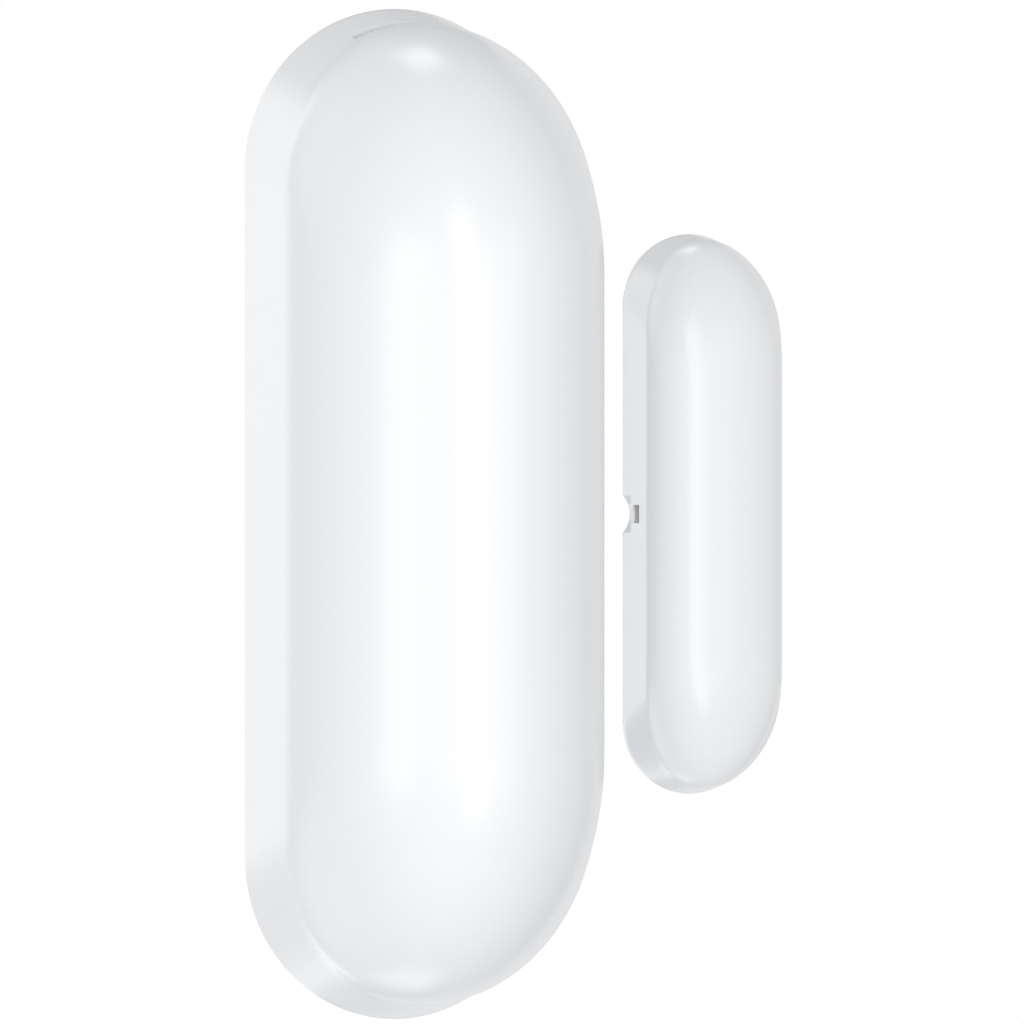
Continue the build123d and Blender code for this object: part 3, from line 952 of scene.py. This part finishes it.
def make_terminals(material):
    """Plated ends on the capacitors, the status light and the antenna."""
    shape = bmesh.new()
    proud = 0.02 * MM
    for node, length in (("capacitors", 0.24), ("status_led", 0.2), ("chip_antenna", 0.4)):
        for low, high in islands(node):
            for side in (0, 1):
                first = Vector((low.x - proud, low.y - proud * 0.9, low.z - proud))
                last = Vector((high.x + proud, high.y - proud * 0.1, high.z + proud))
                if node == "chip_antenna":
                    if side:
                        first.z = high.z - length * MM
                    else:
                        last.z = low.z + length * MM
                elif side:
                    first.x = high.x - length * MM
                else:
                    last.x = low.x + length * MM
                if node == "status_led":
                    first.y = (low.y + high.y) / 2
                add_box(shape, first, last, 0.04)
    new_piece("plated_terminals", shape, material, "sensor_unit", smooth=40)


def make_crystal_lid(material):
    lo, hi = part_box("timing_crystal")
    shape = bmesh.new()
    inset = 0.16 * MM
    proud, sunk = 0.06 * MM, 0.1 * MM
    low = Vector((lo.x + inset, lo.y - proud, lo.z + inset))
    high = Vector((hi.x - inset, lo.y + sunk, hi.z - inset))
    add_box(shape, low, high, 0.05)
    new_piece("crystal_lid", shape, material, "sensor_unit", smooth=40)


def make_module_pads(material):
    """The castellated pads down both sides of the radio module: a foot on the board and a plated edge."""
    lo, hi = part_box("radio_module")
    shape = bmesh.new()
    pitch = 1.2 * MM
    half_width = 0.3 * MM
    count = 6
    # reach outwards and inwards, top, and edge radius
    plates = ((0.35 * MM, 0.5 * MM, hi.y - 0.12 * MM, 0.05), (0.05 * MM, 0.3 * MM, lo.y - 0.04 * MM, 0.04))
    for x, sign in ((lo.x, -1), (hi.x, 1)):
        for k in range(count):
            z = (lo.z + hi.z) / 2 + (k - (count - 1) / 2) * pitch
            for outwards, inwards, top, edge in plates:
                near, far = sorted((x + sign * outwards, x - sign * inwards))
                add_box(shape, Vector((near, top, z - half_width)), Vector((far, hi.y, z + half_width)), edge)
    new_piece("module_pads", shape, material, "sensor_unit", smooth=40)


def make_switch_legs(material):
    lo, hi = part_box("switch_body")
    shape = bmesh.new()
    half_width, thickness, reach = 0.3 * MM, 0.22 * MM, 0.45 * MM
    for bottom, top in ((lo.z - reach, lo.z), (hi.z, hi.z + reach)):
        for share in (0.2, 0.8):
            x = lo.x + (hi.x - lo.x) * share
            low = Vector((x - half_width, hi.y - thickness, bottom))
            high = Vector((x + half_width, hi.y, top))
            add_box(shape, low, high, 0.05)
    new_piece("switch_legs", shape, material, "sensor_unit", smooth=40)


def make_solder_joints(material):
    """Fillets round the reed's leads and at the cell contacts' feet."""
    foot_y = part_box("circuit_board")[0].y + 0.02 * MM
    lo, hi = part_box("reed_glass")
    middle = (lo.x + hi.x) / 2
    leads = (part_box("reed_fixed_blade")[0].z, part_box("reed_moving_lead")[1].z)
    lead_radius = 0.22 * MM
    shape = bmesh.new()
    for z, sign in zip(leads, (1, -1)):
        add_fillet_cone(shape, Vector((middle, foot_y, z + sign * lead_radius)), 0.62, 0.26, 0.5)
    contact_inset = 2.3 * MM
    for node in ("positive_contact", "negative_contact"):
        lo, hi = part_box(node)
        z = hi.z - contact_inset if hi.z > 0 else lo.z + contact_inset
        for x in (-0.9 * MM, 0.9 * MM):
            add_fillet_cone(shape, Vector((x, foot_y, z)), 0.55, 0.2, 0.32)
    new_piece("solder_joints", shape, material, "sensor_unit", smooth=40)


# ---------------------------------------------------------------- carried-over CAD pieces


def soften(node, width):
    """Joins the node's faces and rounds its hard edges slightly."""
    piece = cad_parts[node]
    weld = piece.modifiers.new("weld", "WELD")
    weld.merge_threshold = WELD_GAP * MM
    bevel = piece.modifiers.new("soft_edges", "BEVEL")
    bevel.width = width * MM
    bevel.segments = 2
    bevel.limit_method = "ANGLE"
    bevel.angle_limit = radians(38)
    bevel.use_clamp_overlap = True
    normals = piece.modifiers.new("normals", "WEIGHTED_NORMAL")
    normals.keep_sharp = False


def paint_nodes():
    """A material and an edge radius for each CAD node that shows."""
    white = satin_white_abs()
    contact = steel("contact_nickel", (0.74, 0.7, 0.62), 0.28, (1.0, 1.0, 10.0))
    reed = steel("reed_nickel", (0.62, 0.62, 0.6), 0.3, (10.0, 10.0, 1.0))
    looks = {
        "sensor_base": (white, 0.12),
        "magnet_base": (white, 0.1),
        "circuit_board": (solder_mask(), 0.04),
        "board_screws": (steel("screw_zinc", (0.6, 0.6, 0.62), 0.3, (1.0, 1.0, 1.0), 0.006), 0.08),
        "cell_core": (wound_roll(), 0.05),
        "battery_cradle": (moulded("black_nylon", (0.02, 0.02, 0.022), 0.42, 0.2, 0.012, 0.3), 0.12),
        "positive_contact": (contact, 0.05),
        "negative_contact": (contact, 0.05),
        "reed_fixed_blade": (reed, 0.02),
        "reed_moving_lead": (reed, 0.02),
        "reed_moving_blade": (reed, 0.02),
        "switch_body": (moulded("switch_black", (0.025, 0.025, 0.027), 0.35, 0.1, 0.006, 0.3), 0.06),
        "switch_frame": (steel("switch_tin", (0.7, 0.7, 0.71), 0.26, (1.0, 1.0, 8.0)), 0.04),
        "pairing_button": (moulded("button_cream", (0.75, 0.72, 0.62), 0.4, 0.12, 0.005, 0.08), 0.05),
        "status_led": (led_resin(), 0.05),
        "timing_crystal": (moulded("crystal_ceramic", (0.16, 0.15, 0.14), 0.45, 0.1, 0.004, 0.2), 0.05),
        "radio_module": (module_mask(), 0.04),
        "radio_shield": (shield_tin(), 0.12),
        "chip_antenna": (antenna_ceramic(), 0.06),
        "capacitors": (capacitor_clay(), 0.05),
        "bar_magnet": (steel("magnet_plating", (0.68, 0.66, 0.62), 0.22, (1.0, 1.0, 1.0), 0.003), 0.05),
    }
    for node, (material, width) in looks.items():
        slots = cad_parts[node].data.materials
        slots.clear()
        slots.append(material)
        soften(node, width)


make_camera()
make_world()
make_lights()
make_floor()
make_covers()
foam = closed_cell_foam()
make_pad("sensor_pad", "sensor_unit", foam)
make_pad("magnet_pad", "magnet_unit", foam)
make_cell()
make_reed_tube()
tin = solder()
make_terminals(tin)
make_crystal_lid(shield_tin())
make_module_pads(tin)
make_switch_legs(tin)
make_solder_joints(tin)
paint_nodes()
bpy.context.scene.view_settings.view_transform = "Standard"
